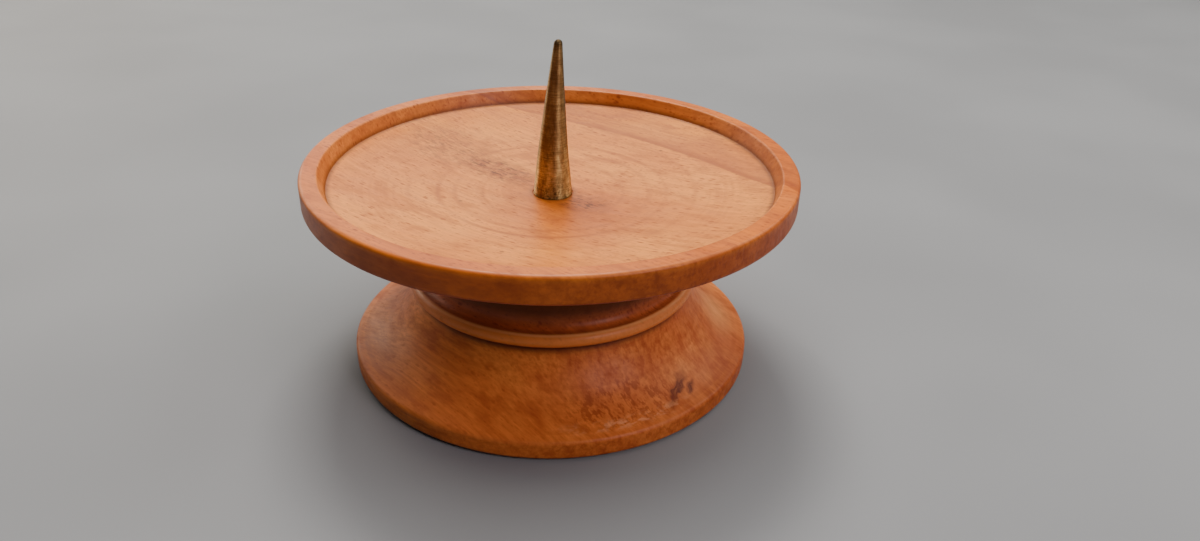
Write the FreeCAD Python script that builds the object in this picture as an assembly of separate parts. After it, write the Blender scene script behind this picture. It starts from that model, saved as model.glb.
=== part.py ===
"""Turned wooden pricket candlestick: a wide shallow dish on a flared foot, with a brass spike.

Millimetres, +Z up, origin at the centre of the resting surface. Every piece is round about Z.
The dish's tenon is glued into the foot. One screw runs up through the foot and the dish into
the spike, and holds all three together. A felt pad in the foot's underside covers the screw.
"""
import FreeCAD
import Part
import math
import os

# Overall sizes
RIM_RADIUS = 50.0            # outside of the dish's rim
RIM_TOP_Z = 43.3             # top of the rim above the table
FOOT_RADIUS = 42.9           # outside of the foot's edge
JOINT_Z = 16.7               # plane where the dish sits on the foot

# Dish: rim and hollow
RIM_BAND_HEIGHT = 5.6        # height of the rim's outer face
RIM_TOP_ROUND = 0.8
RIM_BOTTOM_ROUND = 0.9
RIM_INNER_RADIUS = 46.3      # mouth of the hollow
RIM_INNER_ROUND = 0.5
CREASE_RADIUS = 45.2         # where the hollow's wall meets its floor
CREASE_DEPTH = 3.1           # below the rim's top
FLOOR_DEPTH = 7.5            # below the rim's top, at the centre
SEAT_DEPTH = 0.2             # spot face under the spike, below the floor

# Dish: underside
WAIST_RADIUS = 27.4          # narrowest part of the dish, where the cove ends
LEDGE_ROUND = 1.9            # hollow corner between the waist and the bead
BEAD_RADIUS = 30.8           # outside of the bead ring
BEAD_ROUND = 1.4             # section radius of the bead

# Glued joint between the dish and the foot
TENON_RADIUS = 12.0
TENON_LENGTH = 6.0
GLUE_GAP = 0.05              # around the tenon
GLUE_WELL = 0.4              # below the tenon's end

# Foot
FOOT_EDGE_TOP_Z = 4.6        # top of the foot's rounded edge
FOOT_EDGE_ROUND = 0.9
FLARE_RADIUS = 18.0          # concave sweep from the edge up to the neck
FLARE_EDGE_SLOPE = 12.0      # degrees, slope of the sweep where it meets the edge

# Felt pad in the underside
FELT_RADIUS = 38.2
FELT_THICKNESS = 1.5
FELT_PROUD = 0.4             # how far the felt stands below the wood
FELT_GAP = 0.2               # between the felt's edge and its recess

# Brass spike
SPIKE_BASE_RADIUS = 4.0
SPIKE_LENGTH = 32.0
SPIKE_TIP_RADIUS = 0.85      # rounded point
SPIKE_BASE_CHAMFER = 0.2
SEAT_GAP = 0.2               # around the spike's base in its spot face
SPIKE_HOLE_DEPTH = 8.0
DRILL_POINT_ANGLE = 59.0     # degrees, half of a twist drill's point

# Fixing: M4 x 35 slotted cheese-head screw and an M4 large washer
SCREW_RADIUS = 2.0
SCREW_LENGTH = 35.0
SCREW_END_CHAMFER = 0.5
HEAD_RADIUS = 3.5
HEAD_HEIGHT = 2.6
HEAD_EDGE_ROUND = 0.4
SLOT_WIDTH = 1.2
SLOT_DEPTH = 1.1
THREAD_GAP = 0.05            # between the screw and the spike's tapped hole
THROUGH_RADIUS = 2.25        # clearance hole in both wooden pieces
WASHER_RADIUS = 6.0
WASHER_HOLE_RADIUS = 2.15
WASHER_THICKNESS = 1.0
WASHER_SEAT_Z = 6.5          # end of the counterbore in the foot
COUNTERBORE_RADIUS = 6.5

# Worked out from the sizes above
UNDERSIDE_Z = RIM_TOP_Z - RIM_BAND_HEIGHT
FLOOR_Z = RIM_TOP_Z - FLOOR_DEPTH
SEAT_Z = FLOOR_Z - SEAT_DEPTH
HEAD_TOP_Z = WASHER_SEAT_Z - WASHER_THICKNESS


class HalfSection:
    """Closed outline drawn as radius and height, which is turned about Z into a solid."""

    def __init__(self, radius, height):
        self.start = (radius, height)
        self.at = self.start
        self.edges = []

    def line_to(self, radius, height):
        end = (radius, height)
        if math.dist(self.at, end) > 1e-6:
            self.edges.append(Part.LineSegment(point(*self.at), point(*end)).toShape())
        self.at = end

    def arc_about(self, centre_radius, centre_height, end_angle):
        """Arc from the current point, the short way, to end_angle in degrees from +X towards +Z."""
        across = self.at[0] - centre_radius
        up = self.at[1] - centre_height
        size = math.hypot(across, up)
        begin = math.atan2(up, across)
        sweep = math.remainder(math.radians(end_angle) - begin, 2 * math.pi)

        def place(angle):
            return (centre_radius + size * math.cos(angle), centre_height + size * math.sin(angle))

        middle = place(begin + sweep / 2)
        end = place(begin + sweep)
        self.edges.append(Part.Arc(point(*self.at), point(*middle), point(*end)).toShape())
        self.at = end

    def turned(self):
        self.line_to(*self.start)
        face = Part.Face(Part.Wire(self.edges))
        return face.revolve(FreeCAD.Vector(0, 0, 0), FreeCAD.Vector(0, 0, 1), 360)


def point(radius, height):
    return FreeCAD.Vector(radius, 0, height)


def make_dish():
    """Rim, dished hollow, cove, bead and tenon, turned from one piece of wood."""
    crease_z = RIM_TOP_Z - CREASE_DEPTH
    rise = crease_z - FLOOR_Z
    floor_radius = (CREASE_RADIUS ** 2 + rise ** 2) / (2 * rise)
    floor_centre_z = FLOOR_Z + floor_radius
    seat_radius = SPIKE_BASE_RADIUS + SEAT_GAP
    wall_angle = math.degrees(math.atan2(CREASE_DEPTH, RIM_INNER_RADIUS - CREASE_RADIUS))
    bead_centre = (BEAD_RADIUS - BEAD_ROUND, JOINT_Z + BEAD_ROUND)
    ledge_z = JOINT_Z + 2 * BEAD_ROUND
    waist_z = ledge_z + LEDGE_ROUND
    cove_round = UNDERSIDE_Z - waist_z
    tenon_end_z = JOINT_Z - TENON_LENGTH

    outline = HalfSection(THROUGH_RADIUS, SEAT_Z)
    outline.line_to(seat_radius, SEAT_Z)
    outline.line_to(seat_radius, floor_centre_z - math.sqrt(floor_radius ** 2 - seat_radius ** 2))
    outline.arc_about(0, floor_centre_z, -math.degrees(math.acos(CREASE_RADIUS / floor_radius)))
    lip_centre = (RIM_INNER_RADIUS + RIM_INNER_ROUND, RIM_TOP_Z - RIM_INNER_ROUND)
    lip_start = math.radians(wall_angle + 90)
    outline.line_to(lip_centre[0] + RIM_INNER_ROUND * math.cos(lip_start),
                    lip_centre[1] + RIM_INNER_ROUND * math.sin(lip_start))
    outline.arc_about(*lip_centre, 90)
    outline.line_to(RIM_RADIUS - RIM_TOP_ROUND, RIM_TOP_Z)
    outline.arc_about(RIM_RADIUS - RIM_TOP_ROUND, RIM_TOP_Z - RIM_TOP_ROUND, 0)
    outline.line_to(RIM_RADIUS, UNDERSIDE_Z + RIM_BOTTOM_ROUND)
    outline.arc_about(RIM_RADIUS - RIM_BOTTOM_ROUND, UNDERSIDE_Z + RIM_BOTTOM_ROUND, -90)
    outline.line_to(WAIST_RADIUS + cove_round, UNDERSIDE_Z)
    outline.arc_about(WAIST_RADIUS + cove_round, waist_z, 180)
    outline.arc_about(WAIST_RADIUS + LEDGE_ROUND, waist_z, 270)
    outline.line_to(bead_centre[0], ledge_z)
    outline.arc_about(*bead_centre, -90)
    outline.line_to(TENON_RADIUS, JOINT_Z)
    outline.line_to(TENON_RADIUS, tenon_end_z)
    outline.line_to(THROUGH_RADIUS, tenon_end_z)
    return outline.turned()


def make_foot():
    """Flared foot with the mortise on top, and the screw's well and the felt's recess below."""
    mortise_z = JOINT_Z - TENON_LENGTH - GLUE_WELL
    mortise_radius = TENON_RADIUS + GLUE_GAP
    edge_centre = (FOOT_RADIUS - FOOT_EDGE_ROUND, FOOT_EDGE_TOP_Z - FOOT_EDGE_ROUND)
    edge_angle = math.radians(90 - FLARE_EDGE_SLOPE)
    reach = FLARE_RADIUS + FOOT_EDGE_ROUND
    flare_centre = (edge_centre[0] + reach * math.cos(edge_angle),
                    edge_centre[1] + reach * math.sin(edge_angle))
    neck_angle = math.asin((flare_centre[1] - JOINT_Z) / FLARE_RADIUS)
    neck_radius = flare_centre[0] - FLARE_RADIUS * math.cos(neck_angle)

    outline = HalfSection(THROUGH_RADIUS, mortise_z)
    outline.line_to(mortise_radius, mortise_z)
    outline.line_to(mortise_radius, JOINT_Z)
    outline.line_to(neck_radius, JOINT_Z)
    outline.arc_about(*flare_centre, -90 - FLARE_EDGE_SLOPE)
    outline.arc_about(*edge_centre, 0)
    outline.line_to(FOOT_RADIUS, FELT_PROUD + FOOT_EDGE_ROUND)
    outline.arc_about(edge_centre[0], FELT_PROUD + FOOT_EDGE_ROUND, -90)
    outline.line_to(FELT_RADIUS + FELT_GAP, FELT_PROUD)
    outline.line_to(FELT_RADIUS + FELT_GAP, FELT_THICKNESS)
    outline.line_to(COUNTERBORE_RADIUS, FELT_THICKNESS)
    outline.line_to(COUNTERBORE_RADIUS, WASHER_SEAT_Z)
    outline.line_to(THROUGH_RADIUS, WASHER_SEAT_Z)
    return outline.turned()


def make_spike():
    """Tapered brass spike with a rounded point and a tapped hole in its base."""
    hole_radius = SCREW_RADIUS + THREAD_GAP
    hole_end_z = SEAT_Z + SPIKE_HOLE_DEPTH
    drill_point = hole_radius / math.tan(math.radians(DRILL_POINT_ANGLE))
    tip_centre_z = SEAT_Z + SPIKE_LENGTH - SPIKE_TIP_RADIUS
    side_start = (SPIKE_BASE_RADIUS, SEAT_Z + SPIKE_BASE_CHAMFER)
    side_height = tip_centre_z - side_start[1]
    # The straight side is tangent to the rounded point.
    lean = math.asin(SPIKE_TIP_RADIUS / math.hypot(side_start[0], side_height))
    tangent = math.atan2(side_start[0], side_height) - lean

    outline = HalfSection(0, hole_end_z + drill_point)
    outline.line_to(hole_radius, hole_end_z)
    outline.line_to(hole_radius, SEAT_Z)
    outline.line_to(SPIKE_BASE_RADIUS - SPIKE_BASE_CHAMFER, SEAT_Z)
    outline.line_to(*side_start)
    outline.line_to(SPIKE_TIP_RADIUS * math.cos(tangent),
                    tip_centre_z + SPIKE_TIP_RADIUS * math.sin(tangent))
    outline.arc_about(0, tip_centre_z, 90)
    return outline.turned()


def make_screw():
    """Slotted cheese-head screw, head down."""
    end_z = HEAD_TOP_Z + SCREW_LENGTH
    head_bottom_z = HEAD_TOP_Z - HEAD_HEIGHT
    outline = HalfSection(0, head_bottom_z)
    outline.line_to(HEAD_RADIUS - HEAD_EDGE_ROUND, head_bottom_z)
    outline.arc_about(HEAD_RADIUS - HEAD_EDGE_ROUND, head_bottom_z + HEAD_EDGE_ROUND, 0)
    outline.line_to(HEAD_RADIUS, HEAD_TOP_Z)
    outline.line_to(SCREW_RADIUS, HEAD_TOP_Z)
    outline.line_to(SCREW_RADIUS, end_z - SCREW_END_CHAMFER)
    outline.line_to(SCREW_RADIUS - SCREW_END_CHAMFER, end_z)
    outline.line_to(0, end_z)
    corner = FreeCAD.Vector(-HEAD_RADIUS, -SLOT_WIDTH / 2, head_bottom_z - SLOT_DEPTH)
    slot = Part.makeBox(2 * HEAD_RADIUS, SLOT_WIDTH, 2 * SLOT_DEPTH, corner)
    return outline.turned().cut(slot).Solids[0]


def make_washer():
    base = FreeCAD.Vector(0, 0, HEAD_TOP_Z)
    disc = Part.makeCylinder(WASHER_RADIUS, WASHER_THICKNESS, base)
    return disc.cut(Part.makeCylinder(WASHER_HOLE_RADIUS, WASHER_THICKNESS, base)).Solids[0]


def make_felt_pad():
    return Part.makeCylinder(FELT_RADIUS, FELT_THICKNESS)


PIECES = {
    "dish": make_dish,
    "foot": make_foot,
    "spike": make_spike,
    "screw": make_screw,
    "washer": make_washer,
    "felt_pad": make_felt_pad,
}

os.makedirs("parts", exist_ok=True)
for name, make in PIECES.items():
    shape = make()
    shape.exportStep(f"parts/{name}.step")
    box = shape.optimalBoundingBox()
    print(f"{name}: {shape.ShapeType}, valid {shape.isValid()}, volume {shape.Volume:.1f}, "
          f"z {box.ZMin:.2f} to {box.ZMax:.2f}, radius {box.XMax:.2f}")
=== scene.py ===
"""Looks of a turned wooden pricket candlestick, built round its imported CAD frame.

Every piece is a half-section turned about Z. The sizes below are in millimetres and repeat the
CAD part's, and the meshes are in metres. Each wooden piece has one solid procedural texture, so
its grain runs through it as through a real blank.
"""
import math

import bpy
from mathutils import Matrix, Vector, noise


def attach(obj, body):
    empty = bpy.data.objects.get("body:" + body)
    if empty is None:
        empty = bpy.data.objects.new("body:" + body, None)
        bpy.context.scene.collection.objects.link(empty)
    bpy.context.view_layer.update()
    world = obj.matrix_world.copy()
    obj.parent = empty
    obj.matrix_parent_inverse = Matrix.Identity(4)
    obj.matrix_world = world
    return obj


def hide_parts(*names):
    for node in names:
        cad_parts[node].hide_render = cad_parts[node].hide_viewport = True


MM = 0.001
TAU = 2 * math.pi
BODY = "root"

# ---------------------------------------------------------------- sizes, in millimetres
RIM_RADIUS = 50.0
RIM_TOP_Z = 43.3
RIM_BAND_HEIGHT = 5.6
RIM_TOP_ROUND = 0.8
RIM_BOTTOM_ROUND = 0.9
RIM_INNER_RADIUS = 46.3
RIM_INNER_ROUND = 0.5
CREASE_RADIUS = 45.2
CREASE_DEPTH = 3.1
FLOOR_DEPTH = 7.5
SEAT_DEPTH = 0.2
WAIST_RADIUS = 27.4
LEDGE_ROUND = 1.9
BEAD_RADIUS = 30.8
BEAD_ROUND = 1.4
JOINT_Z = 16.7
TENON_RADIUS = 12.0
TENON_LENGTH = 6.0
GLUE_GAP = 0.05
GLUE_WELL = 0.4
FOOT_RADIUS = 42.9
FOOT_EDGE_TOP_Z = 4.6
FOOT_EDGE_ROUND = 0.9
FLARE_RADIUS = 18.0
FLARE_EDGE_SLOPE = 12.0
FELT_RADIUS = 38.2
FELT_THICKNESS = 1.5
FELT_PROUD = 0.4
FELT_GAP = 0.2
FELT_EDGE = 0.35             # how soft its edge is
FELT_NAP = 0.05              # how deep and how uneven its nap is
SPIKE_BASE_RADIUS = 4.0
SPIKE_LENGTH = 32.0
SPIKE_TIP_RADIUS = 0.85
SPIKE_BASE_CHAMFER = 0.2
SEAT_GAP = 0.2
SPIKE_HOLE_DEPTH = 8.0
DRILL_HALF_ANGLE = 59.0      # degrees
SPIKE_LEAN = 1.0             # how far the point stands off the axis
SCREW_RADIUS = 2.0
SCREW_LENGTH = 35.0
THREAD_PITCH = 0.7
THREAD_LENGTH = 14.0
THREAD_DEPTH = 0.4
HEAD_RADIUS = 3.5
HEAD_HEIGHT = 2.6
HEAD_ROUND = 0.4
SCREW_CHAMFER = 0.5
SLOT_WIDTH = 1.2
SLOT_DEPTH = 1.1
THREAD_GAP = 0.05
THROUGH_RADIUS = 2.25
WASHER_RADIUS = 6.0
WASHER_HOLE_RADIUS = 2.15
WASHER_THICKNESS = 1.0
WASHER_SEAT_Z = 6.5
COUNTERBORE_RADIUS = 6.5
EASED_EDGE = 0.12            # softening of edges that the CAD leaves sharp
METAL_EASED_EDGE = 0.05
WASHER_EASED_EDGE = 0.1
WOOD_SIDES = 288             # steps round a turned piece
FELT_SIDES = 256
METAL_SIDES = 96
SCREW_SIDES = 48

UNDERSIDE_Z = RIM_TOP_Z - RIM_BAND_HEIGHT
FLOOR_Z = RIM_TOP_Z - FLOOR_DEPTH
SEAT_Z = FLOOR_Z - SEAT_DEPTH
HEAD_TOP_Z = WASHER_SEAT_Z - WASHER_THICKNESS

# ---------------------------------------------------------------- wood
# Places are in millimetres, turns in degrees about Z. A pair of triples is a centre and a reach.
DISH_GRAIN = -36             # direction of the fibres
FOOT_GRAIN = -47
DISH_COLOURS = ((0.78, 0.27, 0.032), (0.66, 0.20, 0.020), (0.30, 0.065, 0.007))
FOOT_COLOURS = ((0.81, 0.265, 0.058), (0.68, 0.182, 0.040), (0.29, 0.042, 0.008))
SOOT_AND_SHADE = 0.35                  # share of the wood's own dark that stains, pin knots and painted shade take
TURNING_RINGS = ((20.2, 0.4), (23.6, 0.5), (29.5, 0.3), (14.5, 0.3))    # radius and strength
# Painted reflection of the spike in the lacquer: a centre and a reach.
PAINTED_SPIKE_REFLECTION = ((3.0, -11.0, FLOOR_Z), (24, 28, 14))
STAINS = (((8.0, -1.5, FLOOR_Z), (9.5, 6.0, 6), 1.0),       # along the grain, with a strength
          ((-15.5, 1.5, FLOOR_Z), (15, 6.5, 6), 1.0),
          ((-33, 2.5, FLOOR_Z + 2), (16, 12, 8), 0.55))
PIN_KNOTS = ((-18.5, -6.6), (-9.0, -31.5), (24.4, 18.9), (13.0, -36.0))
DISHING = 460                # the floor rises by the radius squared over this
# Painted light on the foot's right shoulder: a centre and a reach.
LIT_SHOULDER = ((36.5, 0.0, 7.0), (6.0, 13.0, 6.0))
FLAW_TURN = 109.4
FLAW = ((19.3, 32.7, 6.5), (7.0, 1.5, 14.0))
FLAW_BRANCH = ((16.6, 34.9, 6.5), (3.0, 1.0, 14.0))
TORN_TURN = 68
TORN_PATCH = ((36.5, 0.0, 6.5), (7.5, 17.0, 8.0))

# ---------------------------------------------------------------- stage
FLOOR_SIZE = 18.0            # metres
FOCAL_TO_WIDTH = 0.75        # focal length over the picture's width
SENSOR_WIDTH = 36.0
CAMERA_DISTANCE = 172.6      # millimetres in front of the turning axis
CAMERA_HEIGHT = 111.5        # millimetres above the floor
CAMERA_YAW = 3.42            # degrees, to the right
CAMERA_PITCH = 28.62         # degrees, down
CAMERA_ROLL = 1.72           # degrees


# ================================================================ lathe work
class HalfSection:
    """Open or closed outline of radius and height, sampled finely for turning."""

    def __init__(self, radius, height, step=0.8):
        self.points = [(radius, height)]
        self.step = step

    def line_to(self, radius, height):
        """Straight run with closer points at its ends, so that flats shade flat."""
        begin = self.points[-1]
        length = math.dist(begin, (radius, height))
        if length < 1e-6:
            return
        count = max(1, math.ceil(length / self.step))
        shares = {i / count for i in range(1, count + 1)}
        margin = 0.15 / length
        if margin < 0.4:
            shares |= {margin, 1 - margin}
        for share in sorted(shares):
            self.points.append((begin[0] + (radius - begin[0]) * share,
                                begin[1] + (height - begin[1]) * share))

    def arc_about(self, centre_radius, centre_height, end_angle):
        """Arc the short way to end_angle, in degrees from +X towards +Z."""
        across = self.points[-1][0] - centre_radius
        up = self.points[-1][1] - centre_height
        size = math.hypot(across, up)
        begin = math.atan2(up, across)
        sweep = math.remainder(math.radians(end_angle) - begin, TAU)
        by_angle = abs(sweep) / math.radians(10)
        by_length = size * abs(sweep) / self.step
        count = max(2, math.ceil(max(by_angle, by_length)))
        for i in range(1, count + 1):
            angle = begin + sweep * i / count
            self.points.append((centre_radius + size * math.cos(angle),
                                centre_height + size * math.sin(angle)))

    def eased(self, size=EASED_EDGE, sharper_than=25.0):
        """The outline with a small round in place of every sharp corner."""
        out = [self.points[0]]
        for before, here, after in zip(self.points, self.points[1:], self.points[2:]):
            a = Vector(before) - Vector(here)
            b = Vector(after) - Vector(here)
            turn = 180 - math.degrees(a.angle(b))
            if turn < sharper_than:
                out.append(here)
                continue
            reach = min(size, a.length * 0.45, b.length * 0.45)
            first = Vector(here) + a.normalized() * reach
            last = Vector(here) + b.normalized() * reach
            for i in range(5):
                t = i / 4
                p = first * (1 - t) ** 2 + Vector(here) * 2 * t * (1 - t) + last * t ** 2
                out.append(tuple(p))
        out.append(self.points[-1])
        return out


def lathe(name, outline, segments, closed=True, drift=None):
    """Turns an outline into a mesh object. drift(angle, r, z) moves a point by (dr, dz)."""
    if closed and math.dist(outline[0], outline[-1]) < 1e-6:
        outline = outline[:-1]
    verts, faces, rings = [], [], []
    for r, z in outline:
        if r < 1e-6:
            rings.append([len(verts)])
            verts.append((0.0, 0.0, z * MM))
            continue
        rings.append(list(range(len(verts), len(verts) + segments)))
        for i in range(segments):
            angle = TAU * i / segments
            dr, dz = drift(angle, r, z) if drift else (0.0, 0.0)
            verts.append(((r + dr) * math.cos(angle) * MM,
                          (r + dr) * math.sin(angle) * MM, (z + dz) * MM))
    pairs = list(zip(rings, rings[1:]))
    if closed and len(rings[0]) > 1 and len(rings[-1]) > 1:
        pairs.append((rings[-1], rings[0]))
    for low, high in pairs:
        for i in range(segments):
            j = (i + 1) % segments
            if len(low) == 1 and len(high) == 1:
                break
            if len(low) == 1:
                faces.append((low[0], high[j], high[i]))
            elif len(high) == 1:
                faces.append((low[i], low[j], high[0]))
            else:
                faces.append((low[i], low[j], high[j], high[i]))
    return mesh_object(name, verts, faces)


def mesh_object(name, verts, faces):
    """A smooth-shaded mesh with its faces turned outwards."""
    mesh = bpy.data.meshes.new(name)
    mesh.from_pydata(verts, [], faces)
    mesh.validate()
    made = bpy.data.objects.new(name, mesh)
    bpy.context.scene.collection.objects.link(made)
    for polygon in mesh.polygons:
        polygon.use_smooth = True
    bpy.context.view_layer.objects.active = made
    made.select_set(True)
    bpy.ops.object.mode_set(mode="EDIT")
    bpy.ops.mesh.select_all(action="SELECT")
    bpy.ops.mesh.normals_make_consistent(inside=False)
    bpy.ops.object.mode_set(mode="OBJECT")
    made.select_set(False)
    return made


def dish_outline():
    """Rim, dished hollow, cove, bead and tenon, as one closed half-section."""
    crease_z = RIM_TOP_Z - CREASE_DEPTH
    rise = crease_z - FLOOR_Z
    floor_radius = (CREASE_RADIUS ** 2 + rise ** 2) / (2 * rise)
    floor_centre_z = FLOOR_Z + floor_radius
    seat_radius = SPIKE_BASE_RADIUS + SEAT_GAP
    wall_angle = math.degrees(math.atan2(CREASE_DEPTH, RIM_INNER_RADIUS - CREASE_RADIUS))
    bead_radius = BEAD_RADIUS - BEAD_ROUND
    ledge_z = JOINT_Z + 2 * BEAD_ROUND
    waist_z = ledge_z + LEDGE_ROUND
    cove_round = UNDERSIDE_Z - waist_z
    tenon_end_z = JOINT_Z - TENON_LENGTH

    outline = HalfSection(THROUGH_RADIUS, SEAT_Z)
    outline.line_to(seat_radius, SEAT_Z)
    outline.line_to(seat_radius, floor_centre_z - math.sqrt(floor_radius ** 2 - seat_radius ** 2))
    outline.arc_about(0, floor_centre_z, -math.degrees(math.acos(CREASE_RADIUS / floor_radius)))
    lip = (RIM_INNER_RADIUS + RIM_INNER_ROUND, RIM_TOP_Z - RIM_INNER_ROUND)
    lip_start = math.radians(wall_angle + 90)
    outline.line_to(lip[0] + RIM_INNER_ROUND * math.cos(lip_start),
                    lip[1] + RIM_INNER_ROUND * math.sin(lip_start))
    outline.arc_about(*lip, 90)
    outline.line_to(RIM_RADIUS - RIM_TOP_ROUND, RIM_TOP_Z)
    outline.arc_about(RIM_RADIUS - RIM_TOP_ROUND, RIM_TOP_Z - RIM_TOP_ROUND, 0)
    outline.line_to(RIM_RADIUS, UNDERSIDE_Z + RIM_BOTTOM_ROUND)
    outline.arc_about(RIM_RADIUS - RIM_BOTTOM_ROUND, UNDERSIDE_Z + RIM_BOTTOM_ROUND, -90)
    outline.line_to(WAIST_RADIUS + cove_round, UNDERSIDE_Z)
    outline.arc_about(WAIST_RADIUS + cove_round, waist_z, 180)
    outline.arc_about(WAIST_RADIUS + LEDGE_ROUND, waist_z, 270)
    outline.line_to(bead_radius, ledge_z)
    outline.arc_about(bead_radius, JOINT_Z + BEAD_ROUND, -90)
    outline.line_to(TENON_RADIUS, JOINT_Z)
    outline.line_to(TENON_RADIUS, tenon_end_z)
    outline.line_to(THROUGH_RADIUS, tenon_end_z)
    outline.line_to(THROUGH_RADIUS, SEAT_Z)
    return outline.eased()


def foot_outline():
    """Flared foot with its mortise on top and the screw's well and felt recess below."""
    mortise_z = JOINT_Z - TENON_LENGTH - GLUE_WELL
    mortise_radius = TENON_RADIUS + GLUE_GAP
    edge = (FOOT_RADIUS - FOOT_EDGE_ROUND, FOOT_EDGE_TOP_Z - FOOT_EDGE_ROUND)
    edge_angle = math.radians(90 - FLARE_EDGE_SLOPE)
    reach = FLARE_RADIUS + FOOT_EDGE_ROUND
    flare = (edge[0] + reach * math.cos(edge_angle), edge[1] + reach * math.sin(edge_angle))
    neck_angle = math.asin((flare[1] - JOINT_Z) / FLARE_RADIUS)
    neck_radius = flare[0] - FLARE_RADIUS * math.cos(neck_angle)

    outline = HalfSection(THROUGH_RADIUS, mortise_z)
    outline.line_to(mortise_radius, mortise_z)
    outline.line_to(mortise_radius, JOINT_Z)
    outline.line_to(neck_radius, JOINT_Z)
    outline.arc_about(*flare, -90 - FLARE_EDGE_SLOPE)
    outline.arc_about(*edge, 0)
    outline.line_to(FOOT_RADIUS, FELT_PROUD + FOOT_EDGE_ROUND)
    outline.arc_about(edge[0], FELT_PROUD + FOOT_EDGE_ROUND, -90)
    outline.line_to(FELT_RADIUS + FELT_GAP, FELT_PROUD)
    outline.line_to(FELT_RADIUS + FELT_GAP, FELT_THICKNESS)
    outline.line_to(COUNTERBORE_RADIUS, FELT_THICKNESS)
    outline.line_to(COUNTERBORE_RADIUS, WASHER_SEAT_Z)
    outline.line_to(THROUGH_RADIUS, WASHER_SEAT_Z)
    outline.line_to(THROUGH_RADIUS, mortise_z)
    return outline.eased()


def spike_outline():
    """Tapered spike with a rounded point and a drilled base."""
    hole_radius = SCREW_RADIUS + THREAD_GAP
    hole_end_z = SEAT_Z + SPIKE_HOLE_DEPTH
    tip_z = SEAT_Z + SPIKE_LENGTH - SPIKE_TIP_RADIUS
    side = (SPIKE_BASE_RADIUS, SEAT_Z + SPIKE_BASE_CHAMFER)
    lean = math.asin(SPIKE_TIP_RADIUS / math.hypot(side[0], tip_z - side[1]))
    tangent = math.atan2(side[0], tip_z - side[1]) - lean
    drill_point_z = hole_end_z + hole_radius / math.tan(math.radians(DRILL_HALF_ANGLE))

    outline = HalfSection(0, drill_point_z, step=0.3)
    outline.line_to(hole_radius, hole_end_z)
    outline.line_to(hole_radius, SEAT_Z)
    outline.line_to(SPIKE_BASE_RADIUS - SPIKE_BASE_CHAMFER, SEAT_Z)
    outline.line_to(*side)
    outline.line_to(SPIKE_TIP_RADIUS * math.cos(tangent),
                    tip_z + SPIKE_TIP_RADIUS * math.sin(tangent))
    outline.arc_about(0, tip_z, 90)
    return outline.eased(METAL_EASED_EDGE)


def make_spike():
    """The spike, knocked a little to the right above its drilled base."""
    spike = lathe("spike_turned", spike_outline(), METAL_SIDES, closed=False)
    start = (SEAT_Z + SPIKE_HOLE_DEPTH) * MM
    rest = (SPIKE_LENGTH - SPIKE_HOLE_DEPTH) * MM
    for vertex in spike.data.vertices:
        share = max(0.0, vertex.co.z - start) / rest
        vertex.co.x += SPIKE_LEAN * MM * share ** 1.3
    return spike


def make_screw():
    """Cheese-head screw, head down, with a rolled thread on its upper end."""
    end_z = HEAD_TOP_Z + SCREW_LENGTH
    thread_z = end_z - THREAD_LENGTH
    head_bottom_z = HEAD_TOP_Z - HEAD_HEIGHT
    outline = HalfSection(0, head_bottom_z, step=THREAD_PITCH / 8)
    outline.line_to(HEAD_RADIUS - HEAD_ROUND, head_bottom_z)
    outline.arc_about(HEAD_RADIUS - HEAD_ROUND, head_bottom_z + HEAD_ROUND, 0)
    outline.line_to(HEAD_RADIUS, HEAD_TOP_Z)
    outline.line_to(SCREW_RADIUS, HEAD_TOP_Z)
    outline.line_to(SCREW_RADIUS, end_z - SCREW_CHAMFER)
    outline.line_to(SCREW_RADIUS - SCREW_CHAMFER, end_z)
    outline.line_to(0, end_z)

    def thread(angle, r, z):
        if z < thread_z or r < SCREW_RADIUS - SCREW_CHAMFER + 1e-6:
            return 0.0, 0.0
        phase = (z / THREAD_PITCH - angle / TAU) % 1.0
        run_in = min(1.0, (z - thread_z) / THREAD_PITCH)
        return -THREAD_DEPTH * run_in * (1 - abs(2 * phase - 1)), 0.0

    screw = lathe("screw_body", outline.eased(METAL_EASED_EDGE), SCREW_SIDES, closed=False,
                  drift=thread)
    slot = box_object("slot_cutter", (2.4 * HEAD_RADIUS, SLOT_WIDTH, 2 * SLOT_DEPTH),
                      (0, 0, head_bottom_z))
    cut(screw, slot)
    return screw


def box_object(name, size, centre):
    """A box; size and centre are in millimetres."""
    corners = [(x, y, z) for x in (-0.5, 0.5) for y in (-0.5, 0.5) for z in (-0.5, 0.5)]
    verts = [tuple((c + s * k) * MM for c, s, k in zip(centre, size, corner))
             for corner in corners]
    faces = [(0, 1, 3, 2), (4, 6, 7, 5), (0, 4, 5, 1), (2, 3, 7, 6), (0, 2, 6, 4), (1, 5, 7, 3)]
    return mesh_object(name, verts, faces)


def cut(target, cutter):
    """Takes cutter away from target and deletes it."""
    modifier = target.modifiers.new("cut", "BOOLEAN")
    modifier.operation = "DIFFERENCE"
    modifier.object = cutter
    modifier.solver = "EXACT"
    bpy.context.view_layer.objects.active = target
    bpy.ops.object.modifier_apply(modifier=modifier.name)
    bpy.data.objects.remove(cutter, do_unlink=True)


def washer_outline():
    outline = HalfSection(WASHER_HOLE_RADIUS, HEAD_TOP_Z, step=0.5)
    outline.line_to(WASHER_RADIUS, HEAD_TOP_Z)
    outline.line_to(WASHER_RADIUS, WASHER_SEAT_Z)
    outline.line_to(WASHER_HOLE_RADIUS, WASHER_SEAT_Z)
    outline.line_to(WASHER_HOLE_RADIUS, HEAD_TOP_Z)
    return outline.eased(WASHER_EASED_EDGE)


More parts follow.
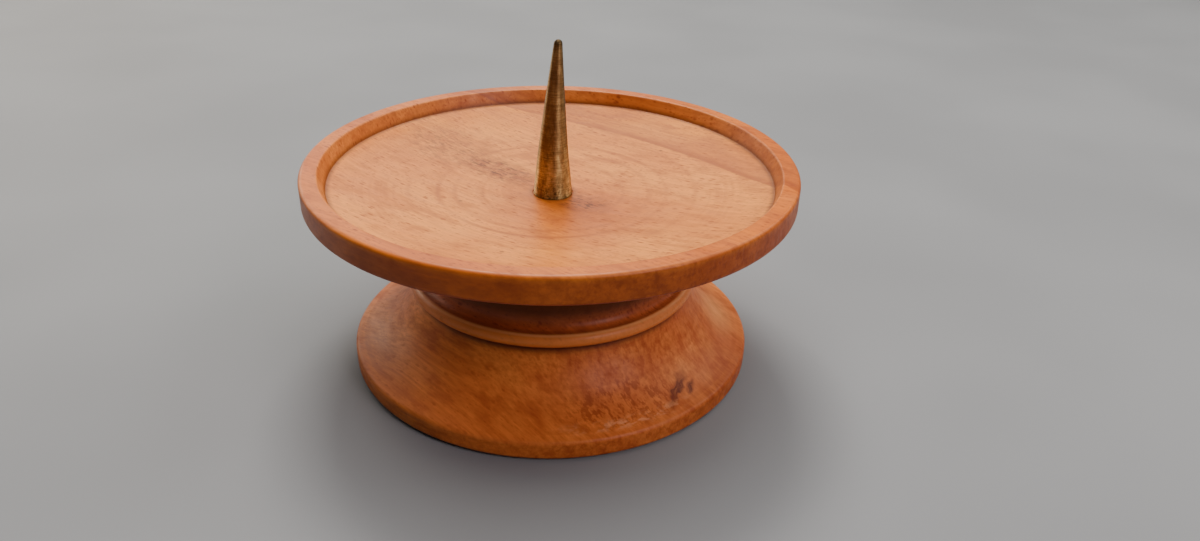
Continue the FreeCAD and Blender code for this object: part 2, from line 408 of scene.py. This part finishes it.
def make_felt_pad():
    """Felt disc with a soft edge and an uneven nap on the face that shows."""
    outline = HalfSection(0, 0)
    outline.line_to(FELT_RADIUS, 0)
    outline.line_to(FELT_RADIUS, FELT_THICKNESS)
    outline.line_to(0, FELT_THICKNESS)

    def nap(angle, r, z):
        if z > FELT_THICKNESS / 2:
            return 0.0, 0.0
        place = Vector((r * math.cos(angle), r * math.sin(angle), 0)) * 1.7
        return 0.0, FELT_NAP * (1 + noise.noise(place))

    return lathe("felt_disc", outline.eased(FELT_EDGE), FELT_SIDES, closed=False, drift=nap)


# ================================================================ shader nodes
class Graph:
    """Short way to write a material's node tree."""

    def __init__(self, name):
        self.material = bpy.data.materials.new(name)
        self.material.use_nodes = True
        self.tree = self.material.node_tree
        self.tree.nodes.clear()
        self.shader = self.tree.nodes.new("ShaderNodeBsdfPrincipled")
        output = self.tree.nodes.new("ShaderNodeOutputMaterial")
        self.tree.links.new(self.shader.outputs[0], output.inputs["Surface"])
        self.object = self.node("ShaderNodeTexCoord").outputs["Object"]
        self.normal = self.node("ShaderNodeNewGeometry").outputs["Normal"]

    def node(self, kind, **settings):
        made = self.tree.nodes.new(kind)
        for key, value in settings.items():
            setattr(made, key, value)
        return made

    def put(self, socket, value):
        """Links value if it is a socket, and sets it if it is a number or a vector."""
        if isinstance(value, bpy.types.NodeSocket):
            self.tree.links.new(value, socket)
        elif value is not None:
            socket.default_value = value

    def math(self, operation, a, b=None, clamp=False):
        made = self.node("ShaderNodeMath", operation=operation, use_clamp=clamp)
        self.put(made.inputs[0], a)
        self.put(made.inputs[1], b)
        return made.outputs[0]

    def times(self, first, *others):
        """Product of sockets and numbers."""
        for other in others:
            first = self.math("MULTIPLY", first, other)
        return first

    def plus(self, a, b, clamp=False):
        return self.math("ADD", a, b, clamp=clamp)

    def minus(self, a, b):
        return self.math("SUBTRACT", a, b)

    def vector(self, operation, a, b=None, scale=None):
        made = self.node("ShaderNodeVectorMath", operation=operation)
        self.put(made.inputs[0], a)
        self.put(made.inputs[1], b)
        if scale is not None:
            self.put(made.inputs["Scale"], scale)
        scalar = operation in ("DOT_PRODUCT", "LENGTH")
        return made.outputs["Value" if scalar else "Vector"]

    def split(self, vector):
        made = self.node("ShaderNodeSeparateXYZ")
        self.put(made.inputs[0], vector)
        return made.outputs

    def join(self, x, y, z):
        made = self.node("ShaderNodeCombineXYZ")
        for socket, value in zip(made.inputs, (x, y, z)):
            self.put(socket, value)
        return made.outputs[0]

    def place(self, vector, turn=(0, 0, 0), scale=(1, 1, 1), move=(0, 0, 0)):
        made = self.node("ShaderNodeMapping")
        self.put(made.inputs["Vector"], vector)
        made.inputs["Location"].default_value = move
        made.inputs["Rotation"].default_value = [math.radians(a) for a in turn]
        made.inputs["Scale"].default_value = scale
        return made.outputs[0]

    def noise(self, vector, scale=1.0, detail=2.0, roughness=0.5, colour=False):
        made = self.node("ShaderNodeTexNoise")
        self.put(made.inputs["Vector"], vector)
        made.inputs["Scale"].default_value = scale
        made.inputs["Detail"].default_value = detail
        made.inputs["Roughness"].default_value = roughness
        return made.outputs["Color" if colour else "Fac"]

    def cells(self, vector):
        """(distance to the cell's point, a random number for the cell), for cells of size 1."""
        made = self.node("ShaderNodeTexVoronoi")
        self.put(made.inputs["Vector"], vector)
        made.inputs["Scale"].default_value = 1.0
        made.inputs["Randomness"].default_value = 1.0
        return made.outputs["Distance"], self.split(made.outputs["Color"])[0]

    def span(self, value, low, high, to_low=0.0, to_high=1.0, smooth=True):
        """Maps low..high to to_low..to_high, and holds the ends."""
        kind = "SMOOTHSTEP" if smooth else "LINEAR"
        made = self.node("ShaderNodeMapRange", interpolation_type=kind)
        for key, number in zip(("Value", "From Min", "From Max", "To Min", "To Max"),
                               (value, low, high, to_low, to_high)):
            self.put(made.inputs[key], number)
        return made.outputs[0]

    def hump(self, value, centre, width):
        """1 where value is centre, falling to 0 a width away."""
        away = self.math("ABSOLUTE", self.minus(value, centre))
        return self.span(away, 0.0, width, 1.0, 0.0)

    def mix(self, share, a, b, blend="MIX"):
        made = self.node("ShaderNodeMix", data_type="RGBA", blend_type=blend)
        self.put(made.inputs["Factor"], share)
        self.put(made.inputs[6], rgba(a))
        self.put(made.inputs[7], rgba(b))
        return made.outputs[2]

    def bump(self, height, strength, distance, normal=None):
        made = self.node("ShaderNodeBump")
        self.put(made.inputs["Height"], height)
        made.inputs["Strength"].default_value = strength
        made.inputs["Distance"].default_value = distance
        self.put(made.inputs["Normal"], normal)
        return made.outputs[0]

    def finish(self, **sockets):
        for key, value in sockets.items():
            socket = self.shader.inputs[key.replace("_", " ")]
            self.put(socket, rgba(value) if isinstance(value, tuple) else value)
        return self.material


def rgba(value):
    """Adds the alpha that a colour socket wants, and leaves anything else alone."""
    if isinstance(value, tuple) and len(value) == 3:
        return (*value, 1.0)
    return value


# ================================================================ wood
class Wood(Graph):
    """The node tree of one turning: its colour so far, and the places its marks are set by."""

    def __init__(self, name, grain, dark):
        super().__init__(name)
        self.dark = dark
        self.here = in_millimetres(self)
        self.radius = self.vector("LENGTH", self.vector("MULTIPLY", self.here, (1, 1, 0)))
        self.height = self.split(self.here)[2]
        self.straight = self.place(self.here, turn=(0, 0, -grain))
        self.colour = None

    def darker(self, share):
        """A share of the wood's own dark."""
        return tuple(share * c for c in self.dark)

    def cover(self, share, colour=None):
        """Lays a colour over the wood: its own dark, if none is given."""
        self.colour = self.mix(share, self.colour, colour or self.dark)

    def tint(self, share, colour):
        """Multiplies the wood by a colour."""
        self.colour = self.mix(share, self.colour, colour, "MULTIPLY")


def in_millimetres(g):
    return g.place(g.object, scale=(1 / MM, 1 / MM, 1 / MM))


def scatter(g, place, scale):
    """A wandering vector about zero."""
    return g.vector("SUBTRACT", g.noise(place, scale, 2, colour=True), (0.5, 0.5, 0.5))


def blot(g, place, centre, reach, edge=0.3):
    """A soft-edged spot: 1 within edge of the centre and 0 at its reach along each axis."""
    local = g.vector("MULTIPLY", g.vector("SUBTRACT", place, centre),
                     tuple(1 / r for r in reach))
    return g.span(g.vector("LENGTH", local), edge, 1.0, 1.0, 0.0)


def flecks(g, axes, size, least):
    """Short dark dashes, one to a cell; the share 'least' of the cells stay empty."""
    gap, chance = g.cells(g.join(*(g.times(a, 1 / s) for a, s in zip(axes, size))))
    return g.times(g.span(gap, 0.12, 0.42, 1.0, 0.0), g.span(chance, least, 1.0))


def late_wood(g, axes, ring_place, ring_depth):
    """One clear ring, sharp on one side and fading out on the other, among fine lines."""
    along, across, up = axes
    bend = g.times(g.math("POWER", g.plus(along, 8.0), 2.0), 1 / 230)
    depth = g.plus(g.plus(across, bend), g.times(up, 0.9))
    past = g.minus(depth, ring_place)
    ring = g.times(g.span(past, -0.25, 0.35), g.span(past, 0.5, 17.0, 1.0, 0.0))
    line = g.times(g.span(past, -0.3, 0.3), g.span(past, 0.4, 2.0, 1.0, 0.0))
    fine = g.join(g.times(along, 0.03), g.times(depth, 0.42), g.times(up, 0.02))
    fine = g.span(g.noise(fine, 1.0, 2, 0.55), 0.44, 0.66)
    late = g.times(ring, g.plus(0.55, g.times(fine, 0.45)))
    late = g.plus(g.times(late, ring_depth), g.times(line, 0.45 * ring_depth))
    return g.plus(late, g.times(fine, 0.07), clamp=True)


def lacquered_beech(name, grain, offset, colours, ring, sheen, gloss, fleck_depth):
    """Solid beech. grain is the direction of its fibres, in degrees about Z.

    offset moves the figure, and colours are its light, middle and dark. ring holds where the one
    clear growth ring crosses, in millimetres across the grain, and how dark it is. sheen holds
    the least and the most roughness, and gloss is the lacquer's specular level. fleck_depth is
    how dark the short flecks are.
    """
    light, middle, dark = colours
    g = Wood(name, grain, dark)
    blank = g.place(g.straight, move=offset)
    blank = g.vector("ADD", blank, g.vector("SCALE", scatter(g, blank, 0.035), scale=2.5))
    along, across, up = axes = tuple(g.split(blank))

    # Rays show as short dark flecks along the grain, thin across it and faint on the rim's side.
    fleck = flecks(g, axes, (2.4, 0.75, 1.5), 0.45)
    fleck_fine = flecks(g, axes, (1.2, 0.42, 0.8), 0.15)
    shown = g.span(g.radius, RIM_RADIUS - 1.4, RIM_RADIUS - 0.5, fleck_depth, 0.2)
    fibres = g.join(g.times(along, 0.07), g.times(across, 1.6), g.times(up, 1.2))
    fibres = g.noise(fibres, 1.0, 3, 0.6)
    clouds = g.noise(g.place(blank, scale=(0.6, 1.0, 1.0)), 0.07, 3, 0.55)
    mottle = g.noise(g.place(blank, scale=(0.45, 1.0, 1.0)), 0.33, 3, 0.6)

    # Marks of the gouge: faint rings about the axis that come and go.
    sweep = g.noise(g.join(g.radius, g.height, 0.0), 0.75, 2, 0.7)
    patchy = g.span(g.noise(g.here, 0.055, 1), 0.42, 0.62, 0.15, 1.0)
    gouge = g.times(g.span(sweep, 0.38, 0.66), patchy)

    # End grain drinks more lacquer: it is darker, redder and blotched, more so at one end.
    fibre_way = (math.cos(math.radians(grain)), math.sin(math.radians(grain)), 0)
    facing = g.math("ABSOLUTE", g.vector("DOT_PRODUCT", g.normal, fibre_way))
    end_grain = g.times(g.span(facing, 0.22, 0.95), g.span(along, -25, 15, 0.35))
    torn = g.noise(g.place(blank, scale=(0.3, 1.0, 0.8)), 0.75, 3, 0.65)
    torn = g.times(g.span(torn, 0.46, 0.64), end_grain)

    g.colour = g.mix(g.span(clouds, 0.34, 0.66), light, middle)
    g.cover(g.times(late_wood(g, axes, *ring), 0.8))
    g.cover(g.span(fibres, 0.35, 0.7, 0.0, 0.42, smooth=False))
    g.cover(g.span(mottle, 0.46, 0.72, 0.0, 0.45))
    g.cover(g.times(fleck, shown))
    g.cover(g.times(fleck_fine, g.times(shown, 0.85)))
    g.cover(g.times(gouge, 0.22))
    g.cover(g.times(end_grain, 0.22))
    g.cover(g.times(torn, 0.55))

    relief = g.plus(g.times(fleck, -0.5), g.times(fibres, 0.6))
    relief = g.plus(relief, g.times(torn, -1.5))
    waves = g.plus(g.noise(g.here, 0.16, 1), g.times(gouge, 0.06))
    normal = g.bump(relief, 0.3, 0.04 * MM)
    normal = g.bump(waves, 0.45, 0.25 * MM, normal)
    rough = g.plus(g.span(mottle, 0.3, 0.7, *sheen), g.times(fleck, 0.1))
    g.finish(Roughness=rough, Normal=normal, Specular_IOR_Level=gloss)
    return g


def mark_dish_floor(g, on_floor):
    """Turning rings, the spike's painted reflection, stains and pin knots."""
    for at_radius, strength in TURNING_RINGS:
        come_and_go = g.noise(g.place(g.here, move=(at_radius, 0, 0)), 0.06, 1)
        come_and_go = g.span(come_and_go, 0.38, 0.6, 0.3)
        ring = g.times(g.hump(g.radius, at_radius, 0.85), come_and_go)
        g.cover(g.times(ring, strength))
    # Painted reflection: the floor deeper in colour round the spike and towards the front, where
    # the spike's dark reflection hides the lacquer's sheen.
    spike_reflection = blot(g, g.here, *PAINTED_SPIKE_REFLECTION, 0.05)
    g.tint(g.times(spike_reflection, on_floor), (0.73, 0.54, 0.33))
    patchy = g.span(g.noise(g.straight, 0.55, 3, 0.6), 0.4, 0.62, 0.4)
    strokes = g.noise(g.place(g.straight, scale=(0.45, 1.7, 1.0)), 1.0, 3, 0.65)
    strokes = g.span(strokes, 0.49, 0.62, 0.0, 0.95)
    for centre, reach, strength in STAINS:
        stain = g.times(blot(g, g.straight, centre, reach, 0.2), strength)
        g.cover(g.times(stain, patchy))
        g.cover(g.times(stain, strokes), g.darker(SOOT_AND_SHADE))
    for x, y in PIN_KNOTS:
        z = FLOOR_Z + (x * x + y * y) / DISHING
        g.cover(g.times(blot(g, g.here, (x, y, z), (0.6, 0.5, 1.0)), 0.75), g.darker(SOOT_AND_SHADE))


def dish_wood():
    """The dish: a clear ring at the back right, stained along the grain beside the spike."""
    g = lacquered_beech("dish_wood", DISH_GRAIN, (0, 0, 0), DISH_COLOURS, ring=(66.4, 0.85),
                        sheen=(0.37, 0.46), gloss=0.28, fleck_depth=1.0)
    radius, height = g.radius, g.height
    ledge_z = JOINT_Z + 2 * BEAD_ROUND
    bead_inner = BEAD_RADIUS - BEAD_ROUND
    facing_up = g.span(g.split(g.normal)[2], 0.7, 0.9)
    on_floor = g.times(g.span(height, SEAT_Z - 0.5, SEAT_Z), facing_up)
    mark_dish_floor(g, on_floor)

    # Painted shade on the rim's side, darker and redder, partly for its end grain, and on all
    # below it. The whole rim is darker and redder, and its inner wall greyer.
    rim_side_shade = g.times(g.span(height, RIM_TOP_Z - 0.6, RIM_TOP_Z - 1.6),
                      g.span(radius, RIM_RADIUS - 2.0, RIM_RADIUS - 0.5))
    g.tint(g.times(rim_side_shade, 0.9), (0.75, 0.62, 0.75))
    # Painted shade: all below the rim is tinted redder, as in shade.
    below = g.times(g.math("LESS_THAN", height, UNDERSIDE_Z + 0.5), g.minus(1.0, on_floor))
    g.tint(below, (1.0, 0.68, 1.7))
    rim = g.times(g.span(height, UNDERSIDE_Z, UNDERSIDE_Z + 0.5),
                  g.span(radius, RIM_INNER_RADIUS, RIM_INNER_RADIUS + 0.5))
    g.tint(g.times(rim, 0.7), (0.80, 0.52, 0.32))
    inside_rim = g.math("LESS_THAN", radius, RIM_INNER_RADIUS + 0.25)
    wall = g.times(g.span(height, UNDERSIDE_Z, UNDERSIDE_Z + 1.0), inside_rim)
    g.tint(g.times(g.minus(1.0, facing_up), wall), (0.86, 0.82, 1.2))

    # Painted shade in the crease, round the spike, on the ledge over the bead and in the cove.
    crease = g.times(g.hump(radius, CREASE_RADIUS, 1.1),
                     g.hump(height, RIM_TOP_Z - CREASE_DEPTH, 1.4))
    round_spike = g.span(radius, SPIKE_BASE_RADIUS + 0.1, SPIKE_BASE_RADIUS + 1.8, 0.6, 0.0)
    ledge = g.times(g.hump(height, ledge_z, 0.9), g.hump(radius, WAIST_RADIUS + 1.5, 1.2))
    cove = g.times(g.span(height, ledge_z + 0.3, ledge_z + 4.0, 0.2, 1.0),
                   g.span(radius, RIM_RADIUS - 3.0, RIM_RADIUS - 12.0))
    painted_shade = g.plus(g.plus(crease, g.times(round_spike, on_floor)), g.times(ledge, 0.5))
    painted_shade = g.math("MULTIPLY", painted_shade, 0.82, clamp=True)
    painted_shade = g.math("MAXIMUM", painted_shade, g.times(cove, below))
    g.cover(g.times(painted_shade, 0.9), g.darker(SOOT_AND_SHADE))

    # Painted light: the bead's face lighter where the light falls, and a painted highlight along
    # its upper edge.
    bead = g.times(g.span(height, JOINT_Z + 0.2, JOINT_Z + 1.0),
                   g.span(radius, bead_inner, bead_inner + 0.7),
                   g.math("LESS_THAN", height, ledge_z + 0.1))
    g.cover(g.times(bead, 0.5), (0.90, 0.30, 0.065))
    # Painted highlight along the bead's upper edge.
    edge = g.times(g.hump(height, ledge_z - 0.12, 0.42), g.hump(radius, bead_inner + 0.45, 0.6))
    g.cover(g.times(edge, 0.7), (0.92, 0.42, 0.16))
    return g.finish(Base_Color=g.colour)


def foot_wood():
    """The foot, from another blank: a dark fibrous flaw and torn grain at the front right."""
    g = lacquered_beech("foot_wood", FOOT_GRAIN, (52, -23, 31), FOOT_COLOURS, ring=(60.0, 0.35),
                        sheen=(0.42, 0.52), gloss=0.2, fleck_depth=0.35)
    x, y, height = g.split(g.here)

    # Painted shade darkens the edge on both sides in front, and painted light makes one shoulder
    # lighter.
    front_edge_shade = g.times(g.span(g.radius, 33.0, 39.0), g.span(g.math("ABSOLUTE", x), 18.0, 32.0),
                    g.span(y, 2.0, -16.0))
    g.tint(front_edge_shade, (0.78, 0.68, 0.58))
    g.cover(g.times(blot(g, g.here, *LIT_SHOULDER, 0.0), 0.4), (0.90, 0.42, 0.15))

    # The flaw runs nearly from back to front, with a short branch beside it.
    down = g.place(g.here, turn=(0, 0, FLAW_TURN))
    stray = g.vector("MULTIPLY", scatter(g, down, 0.45), (0.0, 2.6, 0.0))
    down = g.vector("ADD", down, stray)
    fibres = g.noise(g.place(down, scale=(0.35, 2.6, 0.3)), 1.0, 3, 0.7)
    marks = g.plus(blot(g, down, *FLAW), blot(g, down, *FLAW_BRANCH), clamp=True)
    g.cover(g.times(g.span(fibres, 0.34, 0.6, 0.6, 1.0), marks), g.darker(0.45))

    # Left of the flaw the grain is torn: dark mottles, and painted glints as pale streaks along
    # the foot's edge.
    turned = g.place(g.here, turn=(0, 0, TORN_TURN))
    patch = blot(g, turned, *TORN_PATCH, 0.35)
    mottles = g.noise(g.place(g.straight, scale=(0.5, 1.0, 0.6)), 0.85, 3, 0.7)
    mottles = g.times(g.span(mottles, 0.47, 0.58), patch)
    g.cover(g.times(mottles, 0.65), g.darker(0.8))
    painted_glints = g.noise(g.place(turned, scale=(0.7, 0.3, 1.0)), 1.0, 3, 0.75)
    painted_glints = g.times(g.span(painted_glints, 0.45, 0.62), g.hump(g.radius, 40.4, 2.0))
    g.cover(g.times(painted_glints, g.times(patch, 0.6)), (0.84, 0.38, 0.17))

    # Painted shadow: a dark line under the bead.
    painted_shade = g.times(g.span(height, JOINT_Z - 2.4, JOINT_Z - 0.6), g.hump(g.radius, 28.9, 2.2))
    g.cover(g.times(painted_shade, 0.9), g.darker(SOOT_AND_SHADE))
    return g.finish(Base_Color=g.colour)


# ================================================================ metal and felt
def aged_brass():
    """Brass gone brown, with fine lines round it from the lathe and dark specks low down."""
    g = Graph("aged_brass")
    here = in_millimetres(g)
    x, y, z = g.split(here)
    lines = g.noise(g.join(g.times(x, 0.3), g.times(y, 0.3), g.times(z, 4.0)), 1.0, 4, 0.75)
    tarnish = g.noise(g.place(here, scale=(1.0, 1.0, 0.4)), 0.5, 4, 0.65)
    grime = g.noise(here, 2.2, 3, 0.75)
    colour = g.mix(g.span(tarnish, 0.35, 0.65), (0.80, 0.56, 0.22), (0.31, 0.185, 0.065))
    upper = g.span(z, SEAT_Z + 2.0, SEAT_Z + 16.0, 0.0, 0.68)
    colour = g.mix(upper, colour, (0.15, 0.09, 0.045))
    colour = g.mix(g.span(lines, 0.38, 0.66, 0.0, 0.55), colour, (0.11, 0.055, 0.02))
    colour = g.mix(g.span(grime, 0.56, 0.72, 0.0, 0.65), colour, (0.07, 0.04, 0.018))
    top = SEAT_Z + SPIKE_LENGTH
    colour = g.mix(g.span(z, top - 3.5, top, 0.0, 0.8), colour, (0.06, 0.036, 0.018))
    specks = g.noise(g.place(here, scale=(1.0, 1.0, 0.7)), 1.5, 4, 0.8)
    low = g.span(z, SEAT_Z + 6.0, SEAT_Z + 0.5)
    specks = g.times(g.span(specks, 0.52, 0.6), g.times(low, 0.7))
    colour = g.mix(specks, colour, (0.045, 0.025, 0.012))
    normal = g.bump(lines, 0.8, 0.07 * MM)
    normal = g.bump(grime, 0.3, 0.05 * MM, normal)
    rough = g.span(lines, 0.3, 0.7, 0.38, 0.56)
    return g.finish(Base_Color=colour, Metallic=1.0, Roughness=rough, Normal=normal,
                    Anisotropic=0.95, Tangent=g.join(0.0, 0.0, 1.0))


def zinc_steel():
    g = Graph("zinc_steel")
    here = in_millimetres(g)
    bloom = g.noise(here, 0.8, 4, 0.6)
    scratch = g.noise(g.place(here, scale=(6.0, 0.5, 1.0)), 1.0, 3, 0.6)
    colour = g.mix(g.span(bloom, 0.35, 0.65), (0.62, 0.62, 0.60), (0.44, 0.45, 0.46))
    normal = g.bump(scratch, 0.2, 0.02 * MM)
    return g.finish(Base_Color=colour, Metallic=1.0, Roughness=g.span(bloom, 0.3, 0.7, 0.3, 0.48),
                    Normal=normal)


def green_felt():
    g = Graph("green_felt")
    here = in_millimetres(g)
    matted = g.noise(here, 0.5, 4, 0.6)
    tufts = g.noise(g.place(here, scale=(1.0, 1.4, 1.0)), 3.2, 4, 0.75)
    hairs = g.noise(g.place(here, turn=(0, 0, 35), scale=(9.0, 1.2, 3.0)), 1.0, 3, 0.7)
    colour = g.mix(g.span(matted, 0.3, 0.7), (0.035, 0.10, 0.055), (0.065, 0.16, 0.09))
    colour = g.mix(g.span(hairs, 0.5, 0.75, 0.0, 0.5), colour, (0.13, 0.24, 0.15))
    normal = g.bump(g.plus(tufts, g.times(hairs, 0.5)), 0.7, 0.25 * MM)
    return g.finish(Base_Color=colour, Roughness=0.95, Normal=normal, Sheen_Weight=0.5,
                    Sheen_Roughness=0.5, Specular_IOR_Level=0.15)


# ================================================================ stage
def make_camera():
    """A camera in front of the object, above its rim and tilted down to it."""
    yaw, pitch, roll = (math.radians(a) for a in (CAMERA_YAW, CAMERA_PITCH, CAMERA_ROLL))
    forward = Vector((math.sin(yaw) * math.cos(pitch), math.cos(yaw) * math.cos(pitch),
                      -math.sin(pitch)))
    level = Vector((math.cos(yaw), -math.sin(yaw), 0))
    upright = level.cross(forward)
    right = math.cos(roll) * level + math.sin(roll) * upright
    up = -math.sin(roll) * level + math.cos(roll) * upright
    data = bpy.data.cameras.new("camera")
    data.sensor_width = SENSOR_WIDTH
    data.lens = SENSOR_WIDTH * FOCAL_TO_WIDTH
    data.clip_start = 0.005
    camera = bpy.data.objects.new("camera", data)
    bpy.context.scene.collection.objects.link(camera)
    place = Matrix((right, up, -forward)).transposed().to_4x4()
    place.translation = Vector((0, -CAMERA_DISTANCE, CAMERA_HEIGHT)) * MM
    camera.matrix_world = place
    bpy.context.scene.camera = camera


def area_light(name, azimuth, elevation, distance, size, power, colour):
    """Soft light aimed at the object. Azimuth 0 is +X and 90 is +Y, in degrees."""
    a, e = math.radians(azimuth), math.radians(elevation)
    away = Vector((math.cos(a) * math.cos(e), math.sin(a) * math.cos(e), math.sin(e)))
    data = bpy.data.lights.new(name, "AREA")
    data.shape = "RECTANGLE"
    data.size, data.size_y = size
    data.energy = power
    data.color = colour
    lamp = bpy.data.objects.new(name, data)
    lamp.location = away * distance + Vector((0, 0, 0.03))
    lamp.rotation_mode = "QUATERNION"
    lamp.rotation_quaternion = away.to_track_quat("Z", "Y")
    bpy.context.scene.collection.objects.link(lamp)


def light_the_room():
    area_light("overhead", 98, 80, 0.9, (0.7, 0.6), 5.8, (1.0, 0.97, 0.91))
    area_light("back", 96, 60, 0.9, (0.3, 0.25), 7.2, (1.0, 0.96, 0.89))
    area_light("window", 117, 24, 1.0, (1.3, 0.35), 2.8, (1.0, 0.95, 0.86))
    area_light("left_window", 135, 17, 1.0, (0.7, 0.35), 2.5, (1.0, 0.84, 0.65))
    area_light("side_window", 24, 43, 1.0, (0.8, 0.6), 4.7, (1.0, 0.96, 0.86))
    area_light("key", -46, 36, 0.9, (0.32, 0.32), 3.6, (1.0, 0.87, 0.88))
    world = bpy.data.worlds.new("room")
    world.use_nodes = True
    background = world.node_tree.nodes["Background"]
    background.inputs["Color"].default_value = (0.80, 0.86, 0.95, 1)
    background.inputs["Strength"].default_value = 0.12
    bpy.context.scene.world = world


def make_floor():
    half = FLOOR_SIZE / 2
    corners = [(-half, -half, 0), (half, -half, 0), (half, half, 0), (-half, half, 0)]
    floor = mesh_object("floor", corners, [(0, 1, 2, 3)])
    g = Graph("pale_floor")
    cloud = g.noise(in_millimetres(g), 0.01, 2)
    colour = g.mix(g.span(cloud, 0.3, 0.7), (0.185, 0.19, 0.20), (0.21, 0.216, 0.227))
    floor.data.materials.append(g.finish(Base_Color=colour, Roughness=0.65,
                                         Specular_IOR_Level=0.3))


# ================================================================ the object
def stand_in(piece, node, material):
    """Puts a finished piece in place of the CAD node it details."""
    piece.data.materials.clear()
    piece.data.materials.append(material)
    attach(piece, BODY)
    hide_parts(node)


def make_object():
    steel = zinc_steel()
    dish = lathe("dish_turned", dish_outline(), WOOD_SIDES)
    foot = lathe("foot_turned", foot_outline(), WOOD_SIDES)
    stand_in(dish, "dish", dish_wood())
    stand_in(foot, "foot", foot_wood())
    stand_in(make_spike(), "spike", aged_brass())
    stand_in(make_screw(), "screw", steel)
    washer = lathe("washer_ring", washer_outline(), METAL_SIDES)
    stand_in(washer, "washer", steel)
    stand_in(make_felt_pad(), "felt_pad", green_felt())


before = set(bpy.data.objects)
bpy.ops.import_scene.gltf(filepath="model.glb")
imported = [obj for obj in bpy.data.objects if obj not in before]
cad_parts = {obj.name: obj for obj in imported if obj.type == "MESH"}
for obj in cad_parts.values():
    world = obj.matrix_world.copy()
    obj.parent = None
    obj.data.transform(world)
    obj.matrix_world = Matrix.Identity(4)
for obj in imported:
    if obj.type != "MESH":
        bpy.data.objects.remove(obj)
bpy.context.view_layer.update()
make_camera()
make_floor()
light_the_room()
make_object()
